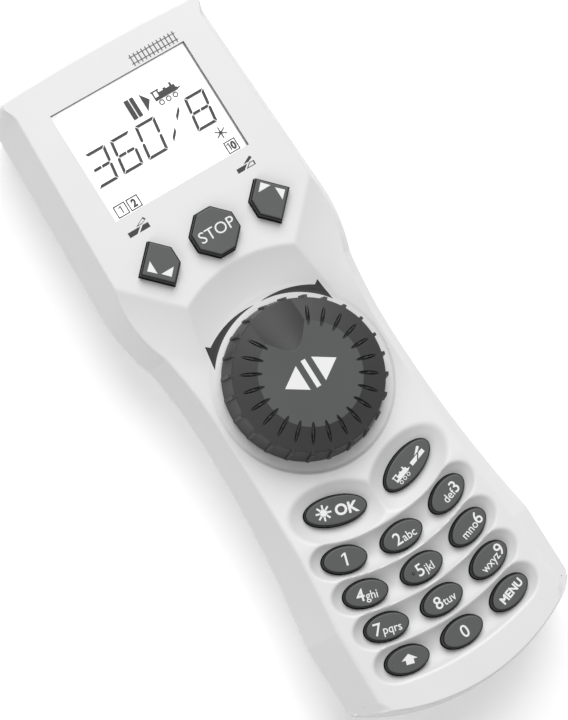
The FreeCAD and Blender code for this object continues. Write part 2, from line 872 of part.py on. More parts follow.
# ---- inside ----
BOARD_SCREWS = [(x, place) for x in (-1, 1) for place in ("{board_screw_low}", "{board_screw_high}")]
PAD_PLACES = [("%s_%d" % (row, column + 1), "%d * {row_side}" % column,
               "{row_%s}" % row if column else "{row_%s} - {sag_%s}" % (row, row))
              for row in ("one", "two", "three", "four") for column in (-1, 0, 1)]
PAD_PLACES += [("ok_%d" % (side + 1), "%d * {ok_across}" % side, "{ok_place}") for side in (-1, 1)]
# what hangs under the board: node, width, length, height, x, y
CHIPS = [("processor", 10, 10, 1.4, 0, 20), ("bus_driver", 5, 6, 1.6, -12, 66),
         ("crystal", 4.6, 11, 3.6, 14, 18)]
CAPACITOR = {"radius": 4, "height": 8, "across": 10, "place": 54}


def make_board():
    """The circuit board and the chips under it."""
    top = "{board_bottom} + {board_thick}"
    under = "{board_bottom} - 1"
    above = top + " + 1"
    slab = block("board_slab", "2 * {board_half}", "{board_high} - {board_low}",
                 "{board_bottom}", top, "0", "({board_high} + {board_low}) / 2")
    holes = [drum("board_hole_%d" % i, "{board_hole_radius}", under, above,
                  "%d * {board_screw_across}" % x, place) for i, (x, place) in enumerate(BOARD_SCREWS)]
    for side, end, ceiling in POSTS:
        holes.append(drum("post_hole_%s_%d" % (end, side + 1), "{post_radius} + 0.5", under, above,
                          "%d * {%s_post_across}" % (side, end), "{%s_post_place}" % end))
    node("main_board", cut("board_shape", slab, group("board_holes", holes)))
    for name, width, length, height, x, y in CHIPS:
        node(name, block(name + "_chip", width, length, "{board_bottom} - %s" % height,
                         "{board_bottom}", x, y))
    low = "{board_bottom} - %s" % CAPACITOR["height"]
    tins = [drum("capacitor_%d" % (side + 1), CAPACITOR["radius"], low, "{board_bottom}",
                 side * CAPACITOR["across"], CAPACITOR["place"]) for side in (-1, 1)]
    node("capacitors", group("capacitor_group", tins))


def make_mats():
    """The two silicone mats on the board, with a dome under each key."""
    low = "{board_bottom} + {board_thick}"
    top = low + " + {mat_thick}"
    sheet_of_keys = block("mat_sheet", "{mat_width}", "{pad_mat_length}", low, top, "0", "{pad_mat_place}")
    domes = [drum("dome_" + name, "{dome_radius}", top, top + " + {dome_rise}", x, y)
             for name, x, y in PAD_PLACES]
    node("keypad_mat", join("mat_shape", [sheet_of_keys] + domes))
    strip = block("stop_mat_sheet", "{mat_width}", "{stop_mat_length}", low, top, "0", "{stop_place}")
    domes = [drum("stop_dome_%d" % (x + 1), "{dome_radius}", top, top + " + {dome_rise}",
                  "%d * {arrow_across}" % x, "{stop_place}") for x in (-1, 0, 1)]
    node("stop_mat", join("stop_mat_shape", [strip] + domes))


def make_socket():
    """The six-way modular socket in the display end, and its spring contacts."""
    front = "{socket_front}"
    body = block("socket_block", "2 * {socket_half}", "{socket_depth}", "{socket_low}",
                 "{board_bottom}", "0", front + " - {socket_depth} / 2")
    bay = block("plug_bay", "2 * {plug_half}", "2 * {plug_depth}", "{plug_low}", "{plug_high}", "0", front)
    latch = block("latch_bay", "{latch_width}", "2 * {plug_depth}", "{plug_low} - {latch_deep}",
                  "{plug_low} + 1", "0", front)
    node("cable_socket", cut("socket_shape", body, join("plug_space", [bay, latch])))
    wires = [block("contact_%d" % i, "{contact_width}", "{contact_length}", "{plug_high} - {contact_thick}",
                   "{plug_high}", "%s * {contact_pitch}" % (i - 2.5), front + " - {contact_set_back}")
             for i in range(6)]
    node("socket_contacts", group("contact_group", wires))


def screw(name, radius, head, low, seat, tip, x, y):
    """A pan-head screw from its head's low end to its tip, driven along +Z or -Z."""
    top = drum(name + "_head", head, low, seat, x, y)
    shank = drum(name + "_shank", radius, seat, tip, x, y)
    slot = block(name + "_slot", "{slot_width}", "1.5 * " + head, low + " - 1", low + " + {slot_deep}", x, y)
    return cut(name, join(name + "_solid", [top, shank]), slot)


def make_fasteners():
    """Four case screws driven from the rear, and four screws that hold the board."""
    case = [screw("case_screw_%s_%d" % (end, side + 1), "{screw_radius}", "{screw_head_radius}",
                  "{screw_head}", "{screw_seat}", "{screw_tip}",
                  "%d * {%s_post_across}" % (side, end), "{%s_post_place}" % end)
            for side, end, ceiling in POSTS]
    node("case_screws", group("case_screw_group", case))
    top = "{board_bottom} + {board_thick}"
    board = []
    for index, (x, place) in enumerate(BOARD_SCREWS):
        across = "%d * {board_screw_across}" % x
        head = drum("board_screw_%d_head" % index, "{board_head_radius}", top, top + " + {board_head_thick}",
                    across, place)
        shank = drum("board_screw_%d_shank" % index, "{board_shank_radius}", "{board_shank_tip}", top,
                     across, place)
        board.append(join("board_screw_%d" % index, [head, shank]))
    node("board_screws", group("board_screw_group", board))


# ---- assembly ----
key_holes = make_keys()
above_face = "{head_height} + 1"
window_hole = block("window_hole", "{window_width} - 2 * {window_ledge}",
                    "{window_length} - 2 * {window_ledge}", "{head_ceiling} - 1", above_face,
                    "0", "{window_place}")
pane_seat = block("pane_seat", "{window_width}", "{window_length}",
                  "{head_height} - {pane_depth} - {pane_thick}", above_face, "0", "{window_place}")
bush_hole = drum("bush_hole", "{bush_radius} + {air_gap}", "{pad_ceiling} - 1", above_face,
                 "0", "{dial_place}")
openings = group("face_openings", key_holes + [window_hole, pane_seat, bush_hole])
node("front_shell", cut("front_case", shaped("front_shell_blank", front_blank()), openings))
node("rear_shell", shaped("rear_case", rear_blank()))
make_display()
make_dial()
make_board()
make_mats()
make_socket()
make_fasteners()
label = block("label_sheet", "{label_width} - 2 * {label_gap}", "{label_length} - 2 * {label_gap}",
              "{fit_gap}", "{label_depth}")
node("type_label", label)
doc.recompute()

for obj in doc.Objects:
    if "Invalid" in obj.State or "Error" in obj.State:
        raise RuntimeError("%s did not build" % obj.Name)
os.makedirs("parts", exist_ok=True)
for obj in nodes:
    if obj.Shape.isNull() or not obj.Shape.isValid():
        raise RuntimeError("%s has no valid shape" % obj.Label)
    obj.Shape.exportStep("parts/%s.step" % obj.Label)
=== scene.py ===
"""Looks of the train set controller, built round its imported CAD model.

Lengths that describe the object are in millimetres and turned to metres by MM.
"""

import json
import math
from functools import partial

import bmesh
import bpy
import numpy as np
from mathutils import Matrix, Vector
from mathutils.bvhtree import BVHTree


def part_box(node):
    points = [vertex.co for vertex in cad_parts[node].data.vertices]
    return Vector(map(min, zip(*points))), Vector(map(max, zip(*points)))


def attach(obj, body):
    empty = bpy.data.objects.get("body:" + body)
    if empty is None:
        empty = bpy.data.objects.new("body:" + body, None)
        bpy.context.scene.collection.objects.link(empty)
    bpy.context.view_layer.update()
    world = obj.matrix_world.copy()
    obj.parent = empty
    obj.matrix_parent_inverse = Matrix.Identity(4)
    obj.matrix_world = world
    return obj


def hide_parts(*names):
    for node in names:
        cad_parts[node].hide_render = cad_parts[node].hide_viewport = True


MM = 0.001
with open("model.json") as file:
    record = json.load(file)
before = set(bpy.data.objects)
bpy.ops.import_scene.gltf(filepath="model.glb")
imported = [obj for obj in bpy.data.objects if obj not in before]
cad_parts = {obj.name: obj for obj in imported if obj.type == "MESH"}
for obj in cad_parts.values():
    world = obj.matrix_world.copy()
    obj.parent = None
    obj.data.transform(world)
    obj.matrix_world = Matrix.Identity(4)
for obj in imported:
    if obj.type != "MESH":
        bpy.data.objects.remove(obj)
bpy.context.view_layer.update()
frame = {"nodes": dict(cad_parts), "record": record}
nodes = frame["nodes"]


def middle(node):
    """The centre of a CAD node's box, in millimetres."""
    low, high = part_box(node)
    return [(a + b) / 2 / MM for a, b in zip(low, high)]


def top_of(node):
    """The height of a CAD node's top, in millimetres."""
    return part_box(node)[1][2] / MM


# ---- materials ----
def material(name, colour, roughness, specular=0.5, metallic=0.0, coat=0.0):
    """A new material with its Principled shader set; gives material and shader."""
    mat = bpy.data.materials.new(name)
    mat.use_nodes = True
    shader = mat.node_tree.nodes["Principled BSDF"]
    shader.inputs["Base Color"].default_value = (*colour, 1)
    shader.inputs["Roughness"].default_value = roughness
    shader.inputs["Specular IOR Level"].default_value = specular
    shader.inputs["Metallic"].default_value = metallic
    shader.inputs["Coat Weight"].default_value = coat
    return mat, shader


def noise(mat, scale, detail=2.0):
    """Object-space noise, in cycles per metre."""
    tree = mat.node_tree
    coords = tree.nodes.new("ShaderNodeTexCoord")
    texture = tree.nodes.new("ShaderNodeTexNoise")
    texture.inputs["Scale"].default_value = scale
    texture.inputs["Detail"].default_value = detail
    tree.links.new(coords.outputs["Object"], texture.inputs["Vector"])
    return texture


def grain(mat, shader, scale, depth):
    """A fine moulded texture as bump, depth in millimetres."""
    tree = mat.node_tree
    bump = tree.nodes.new("ShaderNodeBump")
    bump.inputs["Distance"].default_value = depth * MM
    bump.inputs["Strength"].default_value = 1.0
    texture = noise(mat, scale)
    tree.links.new(texture.outputs["Fac"], bump.inputs["Height"])
    tree.links.new(bump.outputs["Normal"], shader.inputs["Normal"])


def mottle(mat, shader, colour, spread, scale):
    """A slow, slight change of tone over the moulding."""
    tree = mat.node_tree
    ramp = tree.nodes.new("ShaderNodeValToRGB")
    ramp.color_ramp.elements[0].position = 0.3
    ramp.color_ramp.elements[1].position = 0.7
    ramp.color_ramp.elements[0].color = (*[c * (1 - spread) for c in colour], 1)
    ramp.color_ramp.elements[1].color = (*[min(c * (1 + spread), 1) for c in colour], 1)
    tree.links.new(noise(mat, scale, 4).outputs["Fac"], ramp.inputs["Fac"])
    tree.links.new(ramp.outputs["Color"], shader.inputs["Base Color"])


def moulded(name, colour, roughness, spread=0.02, grain_scale=2600, grain_depth=0.012, specular=0.5):
    """Injection-moulded plastic with a spark-eroded grain and slightly uneven tone."""
    mat, shader = material(name, colour, roughness, specular)
    mottle(mat, shader, colour, spread, 45)
    grain(mat, shader, grain_scale, grain_depth)
    return mat


def factor(mat, output, low, high):
    """A factor that goes from 0 to 1 as output goes from low to high."""
    ramp = mat.node_tree.nodes.new("ShaderNodeMapRange")
    ramp.inputs["From Min"].default_value = low
    ramp.inputs["From Max"].default_value = high
    mat.node_tree.links.new(output, ramp.inputs["Value"])
    return ramp.outputs["Result"]


def blended(mat, shader, share, other):
    """The shader's colour gives way to another one where share is 0."""
    tree = mat.node_tree
    mix = tree.nodes.new("ShaderNodeMix")
    mix.data_type = "RGBA"
    colour_in = [socket for socket in mix.inputs if socket.type == "RGBA"]
    colour_out = [socket for socket in mix.outputs if socket.type == "RGBA"]
    tree.links.new(share, mix.inputs["Factor"])
    colour_in[0].default_value = (*other, 1)
    tree.links.new(shader.inputs["Base Color"].links[0].from_socket, colour_in[1])
    tree.links.new(colour_out[0], shader.inputs["Base Color"])


def painted_side_shade(mat, shader, low, high, other):
    """Painted shade: another colour where the moulding turns away from level, all of it where the normal's
    rise is low.
    """
    coords = mat.node_tree.nodes.new("ShaderNodeTexCoord")
    split = mat.node_tree.nodes.new("ShaderNodeSeparateXYZ")
    mat.node_tree.links.new(coords.outputs["Normal"], split.inputs["Vector"])
    blended(mat, shader, factor(mat, split.outputs["Z"], low, high), other)


def dark_below(mat, shader, height, other):
    """Another colour under a height, in millimetres."""
    coords = mat.node_tree.nodes.new("ShaderNodeTexCoord")
    split = mat.node_tree.nodes.new("ShaderNodeSeparateXYZ")
    mat.node_tree.links.new(coords.outputs["Object"], split.inputs["Vector"])
    low, high = (height - 0.04) * MM, (height - 0.01) * MM
    blended(mat, shader, factor(mat, split.outputs["Z"], low, high), other)


def painted_hollow_shade(mat, shader, other):
    """Painted shade in the hollows round the keys: another tone, darker as the hollow deepens."""
    layer = mat.node_tree.nodes.new("ShaderNodeAttribute")
    layer.attribute_name = "hollow"
    blended(mat, shader, factor(mat, layer.outputs["Fac"], 1.0, 0.0), other)


def clear_pane(mat, shader, edge_alpha, face_alpha):
    """A pane that can be seen through from above, but hardly through its edges."""
    tree = mat.node_tree
    coords = tree.nodes.new("ShaderNodeTexCoord")
    split = tree.nodes.new("ShaderNodeSeparateXYZ")
    tree.links.new(coords.outputs["Normal"], split.inputs["Vector"])
    size = tree.nodes.new("ShaderNodeMath")
    size.operation = "ABSOLUTE"
    tree.links.new(split.outputs["Z"], size.inputs[0])
    alpha = tree.nodes.new("ShaderNodeMapRange")
    alpha.inputs["To Min"].default_value = edge_alpha
    alpha.inputs["To Max"].default_value = face_alpha
    tree.links.new(size.outputs["Value"], alpha.inputs["Value"])
    tree.links.new(alpha.outputs["Result"], shader.inputs["Alpha"])


case_white = moulded("case_white", (0.82, 0.82, 0.818), 0.42, 0.012)
case_shader = case_white.node_tree.nodes["Principled BSDF"]
# Painted shade: the case is a darker white in the key hollows, more so deeper in.
painted_hollow_shade(case_white, case_shader, (0.70, 0.70, 0.70))
# Painted shade: the case's walls, turned away from level, are painted a darker white.
painted_side_shade(case_white, case_shader, 0.5, 0.8, (0.745, 0.745, 0.745))
key_grey = moulded("key_grey", (0.104, 0.109, 0.107), 0.45, 0.05, 3500, 0.006, 0.35)
dial_grey = moulded("dial_grey", (0.054, 0.054, 0.055), 0.45, 0.05, 3500, 0.008, 0.25)
cap_grey = moulded("cap_grey", (0.100, 0.105, 0.103), 0.45, 0.04, 3500, 0.006, 0.25)
black_plastic = moulded("black_plastic", (0.02, 0.02, 0.02), 0.4, 0.1)
key_shader = key_grey.node_tree.nodes["Principled BSDF"]
# Painted shade: the keys' walls and rounded edges, turned away from level, are painted near black.
painted_side_shade(key_grey, key_shader, 0.82, 0.95, (0.010, 0.010, 0.011))
cap_shader = cap_grey.node_tree.nodes["Principled BSDF"]
dark_below(cap_grey, cap_shader, top_of("dial_cap"), (0.054, 0.054, 0.055))
print_white = moulded("print_white", (0.88, 0.88, 0.88), 0.5, 0.01, 4000, 0.002)
print_grey = moulded("print_grey", (0.10, 0.10, 0.105), 0.5, 0.04, 4000, 0.002)
print_dark = moulded("print_dark", (0.038, 0.038, 0.040), 0.5, 0.04, 4000, 0.002)
segment_ink = moulded("segment_ink", (0.055, 0.056, 0.056), 0.5, 0.05, 4000, 0.001)
steel = material("steel", (0.55, 0.55, 0.56), 0.3, 0.5, 1.0)[0]
brass = material("brass", (0.75, 0.58, 0.28), 0.28, 0.5, 1.0)[0]
gold = material("gold", (0.85, 0.62, 0.25), 0.22, 0.5, 1.0)[0]
silicone = moulded("silicone", (0.22, 0.22, 0.23), 0.6, 0.05)
board_green = moulded("board_green", (0.02, 0.14, 0.06), 0.3, 0.15)
label_silver = moulded("label_silver", (0.55, 0.55, 0.56), 0.35, 0.03)
guide_clear = moulded("guide_clear", (0.80, 0.83, 0.85), 0.15, 0.02)

# The display glows for its backlight, and is turned up so far that it also washes out the shade in the
# window's pocket: partly painted light.
lcd_white, lcd_shader = material("lcd_white", (0.9, 0.9, 0.9), 0.25)
lcd_shader.inputs["Emission Color"].default_value = (1, 1, 1, 1)
lcd_shader.inputs["Emission Strength"].default_value = 0.8
pane_clear, pane_shader = material("pane_clear", (0.10, 0.10, 0.10), 0.03)
clear_pane(pane_clear, pane_shader, 1.0, 0.04)

FINISH = {"case_plastic": case_white, "window_clear": pane_clear, "lcd_glass": lcd_white,
          "frame_plastic": black_plastic, "guide_acrylic": guide_clear, "lamp_lens": guide_clear,
          "silicone": silicone, "board_laminate": board_green, "plated_metal": steel,
          "brass_shaft": brass, "black_plastic": black_plastic, "screw_steel": steel,
          "gold_contact": gold, "label_film": label_silver, "key_plastic": key_grey,
          "dial_plastic": dial_grey, "cap_plastic": cap_grey}
for entry in frame["record"]["subparts"]:
    mesh = nodes[entry["node"]].data
    mesh.materials.clear()
    mesh.materials.append(FINISH[entry["material_slot"]])


# ---- flat artwork ----
def circle(x, y, radius, count=24):
    """Points round a circle."""
    angles = [2 * math.pi * step / count for step in range(count)]
    return [(x + radius * math.cos(angle), y + radius * math.sin(angle)) for angle in angles]


def bar(x0, y0, x1, y1):
    """The corners of an upright rectangle."""
    return [(x0, y0), (x1, y0), (x1, y1), (x0, y1)]


CAPITAL = 0.729
RAY_FROM = 0.1


def lettering(text, height, x=0.0, y=0.0, weight=0.01, narrow=1.0, align="CENTER"):
    """A line of text as (points, faces); weight thickens the strokes by a share of the height."""
    curve = bpy.data.curves.new("text", "FONT")
    curve.body = text
    curve.size = height / CAPITAL
    curve.offset = weight * height
    curve.align_x = align
    curve.resolution_u = 4
    obj = bpy.data.objects.new("text", curve)
    bpy.context.scene.collection.objects.link(obj)
    mesh = bpy.data.meshes.new_from_object(obj.evaluated_get(bpy.context.evaluated_depsgraph_get()))
    points = [(v.co.x * narrow + x, v.co.y + y) for v in mesh.vertices]
    faces = [tuple(p.vertices) for p in mesh.polygons]
    bpy.data.objects.remove(obj)
    bpy.data.curves.remove(curve)
    bpy.data.meshes.remove(mesh)
    return points, faces


def artwork(name, body, node, shapes, texts, mat, place, turn=0.0, lift=0.02, step=1.5):
    """Printed shapes and lettering laid on a CAD node's surface, as one piece."""
    piece = bmesh.new()
    for shape in shapes:
        piece.faces.new([piece.verts.new((x, y, 0)) for x, y in shape])
    for points, faces in texts:
        verts = [piece.verts.new((x, y, 0)) for x, y in points]
        for face in faces:
            piece.faces.new([verts[i] for i in face])
    bmesh.ops.triangulate(piece, faces=piece.faces[:])
    for _ in range(4):
        long_edges = [e for e in piece.edges if e.calc_length() > step]
        if not long_edges:
            break
        bmesh.ops.subdivide_edges(piece, edges=long_edges, cuts=1)
        bmesh.ops.triangulate(piece, faces=piece.faces[:])
    spin = Matrix.Rotation(math.radians(turn), 3, "Z")
    skin = surface(node)
    for vert in piece.verts:
        spot = spin @ vert.co
        x, y = spot.x + place[0], spot.y + place[1]
        hit = skin.ray_cast(Vector((x * MM, y * MM, RAY_FROM)), Vector((0, 0, -1)))[0]
        height = hit.z if hit else top_of(node) * MM
        vert.co = (x * MM, y * MM, height + lift * MM)
    bmesh.ops.recalc_face_normals(piece, faces=piece.faces[:])
    for face in piece.faces:
        if face.normal.z < 0:
            face.normal_flip()
    mesh = bpy.data.meshes.new(name)
    piece.to_mesh(mesh)
    piece.free()
    obj = bpy.data.objects.new(name, mesh)
    obj.data.materials.append(mat)
    bpy.context.scene.collection.objects.link(obj)
    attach(obj, body)
    return obj


SKINS = {}


def surface(node):
    """The node's surface for laying artwork on: the sculpted one for the front shell."""
    if node not in SKINS:
        mesh = shell.data if node == "front_shell" else nodes[node].data
        points = [vertex.co for vertex in mesh.vertices]
        SKINS[node] = BVHTree.FromPolygons(points, [face.vertices[:] for face in mesh.polygons])
    return SKINS[node]


# ---- sculpted front shell: heights over the floor, places from the origin ----
PARTING = 15.7
HEAD = 27.04
PAD = 25.2
PAD_CREASE_Y = -43.75
VALLEY = 23.5
VALLEY_Y = 8.25
VEE_HALF = 16.5
VEE_Y = 25.35
FLANK_FLOOR = 23.3
FLANK_ARC = 50.0
DISH = 23.4
DISH_RADIUS = 24.3
DISH_SLOPE = 1.2
SCOOP_START = 23.2
SCOOP_RADIUS = 35.6
SCOOP_POWER = 1.6
CEILING = 21.0
HEAD_CEILING = 24.6
HEAD_CEILING_Y = 41
KEYS_CEILING_Y = 30.5
KEYS_CEILING_HALF = 26
WALL = 2.2
END = 98.15
END_RAKE = 1.6
END_ROUND = 3.2
SIDE_ROUND = 0.9
TAPER = (1.0, 8.5)
DIAL_Y = -5.75
STATIONS = {"low": -65.75, "waist": DIAL_Y, "bend": 17.25, "shoulder": 35.25}
PARTING_HALF = {"heel": 35.5, "low": 35.5, "waist": 30.1, "bend": 32.0, "shoulder": 35.3, "brow": 32.8}
RIM_HALF = {"heel": 27.5, "low": 26.7, "waist": 24.0, "bend": 26.5, "shoulder": 30.7, "brow": 28.6}
HEEL_ARC = 60.0
CROWN_ARC = 534.0
CORNERS = {"heel": 1.4, "crown": 4.25}
ROWS = ((-51.0, 2.8), (-61.3, 2.32), (-71.38, 2.01), (-81.38, 1.79))
ROW_SIDE = 16.37
TROUGH_BORE = 6.8
TROUGH_FLOOR = 22.8
TROUGH_HALF = 18.8
TROUGH_TIP = 0.74
HOLLOW_EDGE = 0.5
DIGIT_LONG = 6.1
DIGIT_SHORT = 3.55
OK_ACROSS = 11.41
OK_Y = -39.08
OK_TILT = 18.0
OVAL_HOLLOW = (25.3, 15.5)
OVAL_FLOOR = 22.4
NO_HOLLOW = 99.0
SHARP = 38


def smooth_min(a, b, blend):
    """The lower of two surfaces, rounded over where they cross."""
    near = np.maximum(blend - np.abs(a - b), 0) / blend
    return np.minimum(a, b) - near * near * blend / 4


def smooth_max(a, b, blend):
    """The higher of two surfaces, filled in where they cross."""
    return -smooth_min(-a, -b, blend)


def arc_away(y, start_y, start_x, end_y, end_x):
    """x on the arc that leaves (start_x, start_y) along Y and reaches (end_x, end_y)."""
    across, along = end_x - start_x, end_y - start_y
    radius = (across * across + along * along) / (2 * across)
    inside = np.maximum(radius * radius - (y - start_y) ** 2, 0)
    return start_x + radius - np.sign(radius) * np.sqrt(inside)


def end_drop(x, radius):
    """How far an end arc falls back from its tip at x."""
    return radius - np.sqrt(radius * radius - x * x)


def half_width(y, halves, ends):
    """Half the case's width at y, for one of the two outlines."""
    low, waist, bend, shoulder = (STATIONS[key] for key in ("low", "waist", "bend", "shoulder"))
    heel_y = -ends + end_drop(halves["heel"], HEEL_ARC)
    crown_y = ends - end_drop(halves["brow"], CROWN_ARC)
    heel = halves["low"] + (halves["heel"] - halves["low"]) * (low - y) / (low - heel_y)
    brow = halves["shoulder"] + (halves["brow"] - halves["shoulder"]) * (y - shoulder) / (crown_y - shoulder)
    lower = arc_away(y, waist, halves["waist"], low, halves["low"])
    upper = arc_away(y, waist, halves["waist"], bend, halves["bend"])
    turn = arc_away(y, shoulder, halves["shoulder"], bend, halves["bend"])
    return np.select([y < low, y < waist, y < bend, y < shoulder], [heel, lower, upper, turn], brow)


def wall_width(y):
    """How far the side wall leans in at y: less and less towards the two corners of the head."""
    width = half_width(y, PARTING_HALF, END) - half_width(y, RIM_HALF, END - END_RAKE)
    share = np.clip((END - y - TAPER[0]) / (TAPER[1] - TAPER[0]), 0, 1)
    return END_RAKE + (width - END_RAKE) * share * share * (3 - 2 * share)


def wall_height(x, y, inset=0.0):
    """The height of the raked walls over a point, round at the case's four corners."""
    width = wall_width(y)
    across, along, radius = edge_distances(x, y, inset)
    p = np.maximum(1 - across / radius, 0)
    q = np.maximum(1 - along / radius, 0)
    share = p * p / np.maximum(p * p + q * q, 1e-9)
    corner = radius * (1 - np.hypot(p, q)) / (share * width + (1 - share) * END_RAKE)
    straight = np.minimum(across / width, along / END_RAKE)
    return PARTING + (HEAD - PARTING) * np.where((p > 0) & (q > 0), corner, straight)


def edge_distances(x, y, inset):
    """How far a point lies inside the side and the end of the parting line, and the corner radius."""
    across = half_width(y, PARTING_HALF, END) - inset - np.abs(x)
    drop = np.where(y < 0, end_drop(x, HEEL_ARC), end_drop(x, CROWN_ARC))
    along = END - inset - drop - np.abs(y)
    return across, along, np.where(y < 0, CORNERS["heel"], CORNERS["crown"])


def flank_height(x, y, side):
    """The concave shoulder that falls away from one arm of the head's vee."""
    rise = FLANK_ARC - (HEAD - FLANK_FLOOR)
    run = math.sqrt(FLANK_ARC ** 2 - rise ** 2)
    slope = run / rise
    inward = (-side * (x - side * VEE_HALF) + (y - VEE_Y)) / math.sqrt(2)
    along = np.clip(inward + run, 0, run)
    bowl = FLANK_FLOOR + FLANK_ARC - np.sqrt(FLANK_ARC ** 2 - along ** 2)
    return np.where(inward > 0, HEAD + inward * slope, bowl)


def trough_height(x, y, row_y, sag):
    """The rounded channel of one row of keys, with long oval ends."""
    radius = (ROW_SIDE ** 2 + sag ** 2) / (2 * sag)
    centre = row_y - sag + radius
    limit = math.asin(TROUGH_HALF / radius)
    beyond = np.maximum(np.abs(np.arctan2(x, centre - y)) - limit, 0) * radius
    away = np.hypot(np.hypot(x, centre - y) - radius, beyond * TROUGH_TIP)
    inside = np.maximum(TROUGH_BORE ** 2 - away ** 2, 0)
    return np.where(away < TROUGH_BORE, TROUGH_FLOOR + TROUGH_BORE - np.sqrt(inside), NO_HOLLOW)


def oval_height(x, y, side):
    """The oval hollow round the OK key or the locomotive key."""
    long_half, short_half = OVAL_HOLLOW
    tilt = math.radians(side * OK_TILT)
    dx, dy = x - side * OK_ACROSS, y - OK_Y
    along = (dx * math.cos(tilt) + dy * math.sin(tilt)) / long_half
    across = (dy * math.cos(tilt) - dx * math.sin(tilt)) / short_half
    inside = 1 - along ** 2 - across ** 2
    bowl = OVAL_FLOOR + short_half * (1 - np.sqrt(np.maximum(inside, 0)))
    return np.where(inside > 0, bowl, NO_HOLLOW)


def open_face(x, y):
    """The case's upper face without the hollows of the keys: pad, valley, dish, head, shoulders, scoop."""
    along = np.clip((VALLEY_Y - y) / (VALLEY_Y - PAD_CREASE_Y), 0, 1)
    body = VALLEY + (PAD - VALLEY) * along ** 2
    reach = np.hypot(x, y - DIAL_Y)
    body = smooth_min(body, DISH + np.maximum(reach - DISH_RADIUS, 0) * DISH_SLOPE, 0.08)
    head = smooth_min(flank_height(x, y, 1), flank_height(x, y, -1), 0.2)
    climb = np.maximum((reach - SCOOP_START) / (SCOOP_RADIUS - SCOOP_START), 0)
    head = smooth_min(head, DISH + (HEAD - DISH) * climb ** SCOOP_POWER, 0.08)
    head = smooth_min(head, np.full_like(x, HEAD), 0.2)
    return smooth_max(body, head, 0.25)


def face_height(x, y):
    """The case's upper face with the hollows and troughs that the keys stand in."""
    top = open_face(x, y)
    for side in (-1, 1):
        top = smooth_min(top, oval_height(x, y, side), 0.3)
    for row_y, sag in ROWS:
        top = smooth_min(top, trough_height(x, y, row_y, sag), 0.45)
    return top


def zone(low, high, count):
    """Evenly spaced grid lines from low up to, but not at, high."""
    return list(np.linspace(low, high, count, endpoint=False))


def mirrored(lines):
    """Grid lines on both sides of the middle."""
    return np.array([-value for value in lines[:0:-1]] + lines)


CREASE_AT = 0.8
CREASE_BAND = 0.03
CREASE_READ_X = 28.0


def grid_lines():
    """The grid's columns and rows, from -1 to 1: close together at the side creases and at the ends."""
    before, after = CREASE_AT - CREASE_BAND, CREASE_AT + CREASE_BAND
    columns = mirrored(zone(0, before, 70) + zone(before, after, 12) + zone(after, 1, 12) + [1.0])
    near, edge = END - 6, END - 2.2
    rows = mirrored(zone(0, near, 290) + zone(near, edge, 14) + zone(edge, END, 18) + [END]) / END
    return np.meshgrid(columns, rows)


def grid_plan(inset):
    """x and y of every grid point: columns follow the side crease, rows the two end arcs."""
    u, v = grid_lines()
    size = np.abs(u)
    y = v * (END - inset)
    x = np.zeros_like(y)
    for _ in range(4):
        foot = half_width(y, PARTING_HALF, END)
        height = face_height(np.full_like(y, CREASE_READ_X), y)
        crease = foot - wall_width(y) * (height - PARTING) / (HEAD - PARTING)
        crease = np.minimum(crease, foot - inset - 0.5)
        beyond = crease + (size - CREASE_AT) / (1 - CREASE_AT) * (foot - inset - crease)
        x = np.sign(u) * np.where(size < CREASE_AT, size / CREASE_AT * crease, beyond)
        drop = np.where(v < 0, end_drop(x, HEEL_ARC), end_drop(x, CROWN_ARC))
        y = v * (END - inset - drop)
    across, along, radius = edge_distances(x, y, inset)
    p = np.clip(1 - across / radius, 0, 1)
    q = np.clip(1 - along / radius, 0, 1)
    x = x - np.sign(x) * p * (1 - np.sqrt(1 - q * q / 2)) * radius
    y = y - np.sign(y) * q * (1 - np.sqrt(1 - p * p / 2)) * radius
    return x, y


def edge_blend(x, y):
    """How widely the face is rounded over into the walls: more at the two ends than at the sides."""
    along = edge_distances(x, y, 0.0)[1]
    return SIDE_ROUND + (END_ROUND - SIDE_ROUND) * np.clip(2 - along / 2, 0, 1)


def shell_mesh():
    """The closed front shell: outer skin, inner skin, and the flat parting face between them."""
    x, y = grid_plan(0.0)
    outer = np.maximum(smooth_min(face_height(x, y), wall_height(x, y), edge_blend(x, y)), PARTING)
    outer[0], outer[-1], outer[:, 0], outer[:, -1] = PARTING, PARTING, PARTING, PARTING
    inner_x, inner_y = grid_plan(WALL)
    over_keys = (inner_y > KEYS_CEILING_Y) & (np.abs(inner_x) < KEYS_CEILING_HALF)
    ceiling = np.where((inner_y > HEAD_CEILING_Y) | over_keys, HEAD_CEILING, CEILING)
    inner = np.clip(wall_height(inner_x, inner_y, WALL), PARTING, ceiling)
    inner[0], inner[-1], inner[:, 0], inner[:, -1] = PARTING, PARTING, PARTING, PARTING
    rows, columns = x.shape
    points = np.concatenate([np.stack([x, y, outer], -1).reshape(-1, 3),
                             np.stack([inner_x, inner_y, inner], -1).reshape(-1, 3)]) * MM
    index = np.arange(rows * columns).reshape(rows, columns)
    quads = np.stack([index[:-1, :-1], index[:-1, 1:], index[1:, 1:], index[1:, :-1]], -1).reshape(-1, 4)
    loop = np.concatenate([index[0, :-1], index[:-1, -1], index[-1, :0:-1], index[:0:-1, 0]])
    after = np.roll(loop, -1)
    under = rows * columns
    rim = np.stack([after, loop, loop + under, after + under], -1)
    faces = np.concatenate([quads, quads[:, ::-1] + under, rim])
    mesh = bpy.data.meshes.new("front_shell_skin")
    mesh.from_pydata(points.tolist(), [], faces.tolist())
    return mesh


def prism(outline, low, high):
    """A closed prism over an outline, as (points, faces)."""
    count = len(outline)
    points = [(x, y, low) for x, y in outline] + [(x, y, high) for x, y in outline]
    faces = [tuple(range(count - 1, -1, -1)), tuple(range(count, 2 * count))]
    faces += [(i, (i + 1) % count, (i + 1) % count + count, i + count) for i in range(count)]
    return points, faces


